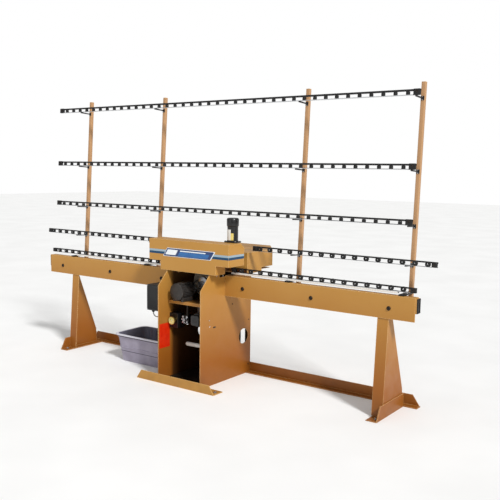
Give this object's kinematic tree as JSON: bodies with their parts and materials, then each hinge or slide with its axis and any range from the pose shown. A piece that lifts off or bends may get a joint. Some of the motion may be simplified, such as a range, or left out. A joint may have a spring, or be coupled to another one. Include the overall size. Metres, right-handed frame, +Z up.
{
  "type": "straight-line glass edge grinder",
  "caption": "Upright glass edge grinder: two roller tables on end legs, a leaning rack of wheel rails and a cabinet with hood, grinding wheel, feed motor and coolant tub.",
  "frame": {"origin": "on the floor, under the middle of the outer box", "axes": "+X along the tables to the operator's right, +Y towards the back, +Z up"},
  "size_m": [3.298, 0.863, 1.941],
  "materials": {
    "tan_paint": "semi-gloss golden tan enamel",
    "dark_paint": "satin dark brown",
    "black_paint": "satin black",
    "black_plastic": "moulded black",
    "wheel_tread": "matte black tread",
    "rail_strip": "satin mill finish",
    "white_plastic": "slick white guide plastic",
    "motor_paint": "dark grey machine enamel",
    "bright_steel": "turned steel",
    "wheel_grit": "bonded abrasive",
    "belt_rubber": "matte belt rubber",
    "tub_plastic": "moulded grey tote",
    "gauge_face": "pale yellow dial",
    "start_green": "gloss green",
    "stop_red": "gloss red"
  },
  "bodies": {
    "frame": {"left_side_panel": "tan_paint", "right_side_panel": "tan_paint", "inner_partition": "dark_paint", "motor_shelf": "tan_paint", "toe_plate": "tan_paint", "left_foot": "tan_paint", "right_foot": "tan_paint", "left_leg": "tan_paint", "right_leg": "tan_paint", "left_floor_rail": "tan_paint", "right_floor_rail": "tan_paint", "left_beam": "tan_paint", "right_beam": "tan_paint", "left_beam_tube": "tan_paint", "right_beam_tube": "tan_paint", "left_beam_cap": "black_plastic", "right_beam_cap": "black_plastic", "table_left_rail": "black_paint", "table_right_rail": "black_paint", "table_left_rail_wheels": "wheel_tread", "table_right_rail_wheels": "wheel_tread", "left_carrier_strip": "white_plastic", "right_carrier_strip": "white_plastic", "top_rail": "black_paint", "upper_rail": "black_paint", "middle_rail": "black_paint", "lower_left_rail": "black_paint", "lower_right_rail": "black_paint", "top_rail_rollers": "rail_strip", "upper_rail_rollers": "rail_strip", "middle_rail_rollers": "rail_strip", "lower_left_rail_wheels": "wheel_tread", "lower_right_rail_wheels": "wheel_tread", "post_1": "tan_paint", "post_2": "tan_paint", "post_3": "tan_paint", "post_4": "tan_paint", "hood": "tan_paint", "rear_housing": "tan_paint", "feed_motor": "black_paint", "main_motor": "motor_paint", "drive_belt": "belt_rubber", "spindle_bearing": "motor_paint", "control_box": "black_paint", "control_cable": "black_plastic", "gauge": "gauge_face", "valve_block": "black_paint", "coolant_pump": "black_paint", "drain_pipe": "white_plastic"},
    "spindle": {"spindle": "bright_steel", "grinding_wheel": "wheel_grit"},
    "motor_shaft": {"motor_pulley": "bright_steel"},
    "feed_wheel": {"feed_wheel": "wheel_tread"},
    "box_lid": {"control_box_lid": "black_paint"},
    "start_button": {"start_button": "start_green"},
    "stop_button": {"stop_button": "stop_red"},
    "valve_handle": {"valve_handle": "stop_red"},
    "tub": {"coolant_tub": "tub_plastic"},
    "table_wheel_left": {"table_wheel_left": "wheel_tread"},
    "table_wheel_right": {"table_wheel_right": "wheel_tread"}
  },
  "joints": [
    {"name": "spindle_spin", "type": "hinge", "parent": "frame", "child": "spindle", "pos_m": [0.035, -0.0965, 0.656], "axis": [0, 1, 0], "continuous": true},
    {"name": "motor_spin", "type": "hinge", "parent": "frame", "child": "motor_shaft", "pos_m": [-0.063, -0.1445, 0.603], "axis": [0, 1, 0], "continuous": true},
    {"name": "feed_spin", "type": "hinge", "parent": "frame", "child": "feed_wheel", "pos_m": [0.284, -0.1485, 0.853], "axis": [0, 0, 1], "continuous": true},
    {"name": "lid_hinge", "type": "hinge", "parent": "frame", "child": "box_lid", "pos_m": [-0.3163, -0.3188, 0.544], "axis": [0, 0, -1], "range_deg": [0, 110]},
    {"name": "start_press", "type": "slide", "parent": "box_lid", "child": "start_button", "axis": [0, 1, 0], "range_m": [0, 0.003], "stiffness_N_per_m": 300, "springref_m": -0.001},
    {"name": "stop_press", "type": "slide", "parent": "box_lid", "child": "stop_button", "axis": [0, 1, 0], "range_m": [0, 0.003], "stiffness_N_per_m": 300, "springref_m": -0.001},
    {"name": "valve_turn", "type": "hinge", "parent": "frame", "child": "valve_handle", "pos_m": [-0.036, -0.2578, 0.41], "axis": [0, -1, 0], "range_deg": [0, 90]},
    {"name": "tub_slide", "type": "slide", "parent": "frame", "child": "tub", "axis": [-1, 0, 0], "range_m": [0, 0.35]},
    {"name": "left_wheel_spin", "type": "hinge", "parent": "frame", "child": "table_wheel_left", "pos_m": [-0.2734, -0.097, 0.761], "axis": [0, 1, 0], "continuous": true},
    {"name": "right_wheel_spin", "type": "hinge", "parent": "frame", "child": "table_wheel_right", "pos_m": [0.3215, -0.097, 0.761], "axis": [0, 1, 0], "continuous": true}
  ],
  "couplings": [
    {"joint": "motor_spin", "follows": "spindle_spin", "ratio": 1.2143}
  ]
}
